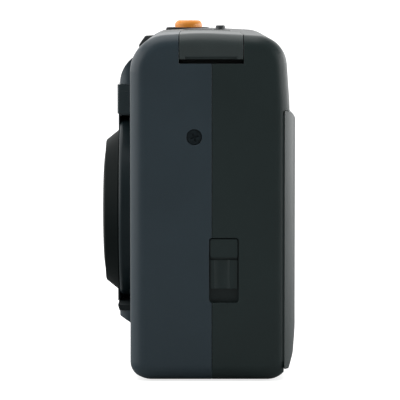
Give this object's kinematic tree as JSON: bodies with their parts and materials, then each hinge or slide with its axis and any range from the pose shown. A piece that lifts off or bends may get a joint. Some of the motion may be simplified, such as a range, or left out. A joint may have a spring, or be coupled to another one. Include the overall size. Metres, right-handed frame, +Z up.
{
  "type": "compact film camera",
  "caption": "Compact 35 mm film camera with a flip-up flash, a conical lens front, an orange shutter release and a hinged film door.",
  "frame": {"origin": "centre of the tripod socket's mouth, on the base", "axes": "+Z up, -Y the way the lens looks, +X towards the operator's left end"},
  "size_m": [0.128, 0.0423, 0.0747],
  "materials": {
    "front_shell": "fine satin texture, bluish charcoal",
    "rear_shell": "fine satin texture, greenish charcoal",
    "top_panel": "satin",
    "dark_panel": "glossy",
    "lens_black": "fine matte",
    "inner_black": "matte black",
    "soft_grip": "soft, ribbed",
    "release_orange": "satin gloss orange",
    "clear_pane": "clear",
    "lens_glass": "coated",
    "steel": "brushed",
    "dark_screw": "blackened steel",
    "bright_metal": "polished",
    "brass": "turned",
    "gold_contact": "gilt",
    "board": "lacquered",
    "foam": "open foam",
    "flash_clear": "ribbed",
    "white_gear": "natural white"
  },
  "bodies": {
    "camera": {"front_cover": "front_shell", "rear_cover": "rear_shell", "top_plate": "top_panel", "front_grip": "soft_grip", "finder_panel": "dark_panel", "lower_bezel": "dark_panel", "lens_base_ring": "front_shell", "lens_cone": "lens_black", "lens_front_plate": "lens_black", "lens_cover_guide": "inner_black", "lens_barrel": "inner_black", "shutter_plate": "inner_black", "chassis": "inner_black", "film_rails": "steel", "film_motor": "steel", "cassette_contacts": "gold_contact", "cassette_spring": "steel", "door_hinge_pin": "steel", "finder_window": "clear_pane", "focus_windows": "lens_glass", "finder_tunnel": "inner_black", "eyepiece_frame": "soft_grip", "eyepiece_lens": "clear_pane", "ready_lamp": "clear_pane", "counter_window": "clear_pane", "counter_display": "dark_panel", "release_collar": "dark_panel", "release_spring": "steel", "board_switches": "inner_black", "circuit_board": "board", "flash_bracket": "steel", "flash_capacitor": "inner_black", "battery_contact": "gold_contact", "tripod_socket": "brass", "fasteners": "dark_screw"},
    "film_door_body": {"film_door": "rear_shell", "cassette_window": "clear_pane", "window_seal": "foam", "pressure_spring": "steel"},
    "pressure_plate_body": {"pressure_plate": "inner_black"},
    "spool_body": {"takeup_spool": "inner_black"},
    "idler_body": {"idler_gear": "white_gear"},
    "sprocket_body": {"film_sprocket": "inner_black"},
    "fork_body": {"rewind_fork": "inner_black"},
    "latch_body": {"door_latch": "rear_shell"},
    "release_body": {"shutter_release": "release_orange"},
    "mode_body": {"mode_button": "lens_black"},
    "power_body": {"power_switch": "lens_black"},
    "flash_body": {"flash_case": "front_shell", "flash_window": "flash_clear", "flash_reflector": "bright_metal", "flash_tube": "clear_pane"},
    "battery_door_body": {"battery_door": "front_shell"},
    "lens_body": {"lens_cell": "lens_black", "front_element": "lens_glass", "rear_element": "lens_glass"},
    "upper_blade_body": {"lens_cover_blade_upper": "inner_black"},
    "lower_blade_body": {"lens_cover_blade_lower": "inner_black"},
    "shutter_left_body": {"shutter_blade_left": "steel"},
    "shutter_right_body": {"shutter_blade_right": "steel"}
  },
  "joints": [
    {"name": "film_door_hinge", "type": "hinge", "parent": "camera", "child": "film_door_body", "pos_m": [-0.0619, 0.01897, 0.028], "axis": [0, 0, 1], "range_deg": [0, 100]},
    {"name": "pressure_plate_slide", "type": "slide", "parent": "film_door_body", "child": "pressure_plate_body", "axis": [0, 1, 0], "range_m": [0, 0.0006], "stiffness_N_per_m": 300},
    {"name": "spool_turn", "type": "hinge", "parent": "camera", "child": "spool_body", "pos_m": [-0.0366, 0.0056, 0.02], "axis": [0, 0, 1], "continuous": true},
    {"name": "idler_turn", "type": "hinge", "parent": "camera", "child": "idler_body", "pos_m": [-0.02472, 0.00388, 0.004], "axis": [0, 0, 1], "continuous": true},
    {"name": "sprocket_turn", "type": "hinge", "parent": "camera", "child": "sprocket_body", "pos_m": [-0.0206, 0.0112, 0.02], "axis": [0, 0, 1], "continuous": true},
    {"name": "fork_turn", "type": "hinge", "parent": "camera", "child": "fork_body", "pos_m": [0.0473, 0.0029, 0.008], "axis": [0, 0, 1], "continuous": true},
    {"name": "latch_slide", "type": "slide", "parent": "camera", "child": "latch_body", "axis": [0, 0, -1], "range_m": [0, 0.0027], "stiffness_N_per_m": 150},
    {"name": "release_press", "type": "slide", "parent": "camera", "child": "release_body", "axis": [0, 0, -1], "range_m": [0, 0.0012], "stiffness_N_per_m": 400},
    {"name": "mode_press", "type": "slide", "parent": "camera", "child": "mode_body", "axis": [0, 0, -1], "range_m": [0, 0.0006], "stiffness_N_per_m": 400},
    {"name": "power_slide", "type": "slide", "parent": "camera", "child": "power_body", "axis": [1, 0, 0], "range_m": [0, 0.004]},
    {"name": "flash_lift", "type": "hinge", "parent": "camera", "child": "flash_body", "pos_m": [0.01605, 0.00235, 0.06995], "axis": [0, -1, 0], "range_deg": [0, 50]},
    {"name": "battery_door_hinge", "type": "hinge", "parent": "camera", "child": "battery_door_body", "pos_m": [-0.0447, -0.0038, 0.0008], "axis": [0, -1, 0], "range_deg": [0, 95]},
    {"name": "lens_focus", "type": "slide", "parent": "camera", "child": "lens_body", "axis": [0, -1, 0], "range_m": [0, 0.0012]},
    {"name": "lens_cover_open", "type": "slide", "parent": "camera", "child": "upper_blade_body", "axis": [0, 0, 1], "range_m": [0, 0.0069]},
    {"name": "lens_cover_lower", "type": "slide", "parent": "camera", "child": "lower_blade_body", "axis": [0, 0, -1], "range_m": [0, 0.0069]},
    {"name": "shutter_open", "type": "hinge", "parent": "camera", "child": "shutter_left_body", "pos_m": [0, -0.0042, 0.0197], "axis": [0, -1, 0], "range_deg": [0, 36], "stiffness_Nm_per_rad": 0.0005},
    {"name": "shutter_open_right", "type": "hinge", "parent": "camera", "child": "shutter_right_body", "pos_m": [0.006, -0.0039, 0.0197], "axis": [0, 1, 0], "range_deg": [0, 36], "stiffness_Nm_per_rad": 0.0005}
  ],
  "couplings": [
    {"joint": "idler_turn", "follows": "spool_turn", "ratio": -1.5},
    {"joint": "sprocket_turn", "follows": "spool_turn", "ratio": 2},
    {"joint": "lens_cover_lower", "follows": "lens_cover_open", "ratio": 1},
    {"joint": "shutter_open_right", "follows": "shutter_open", "ratio": 1}
  ]
}
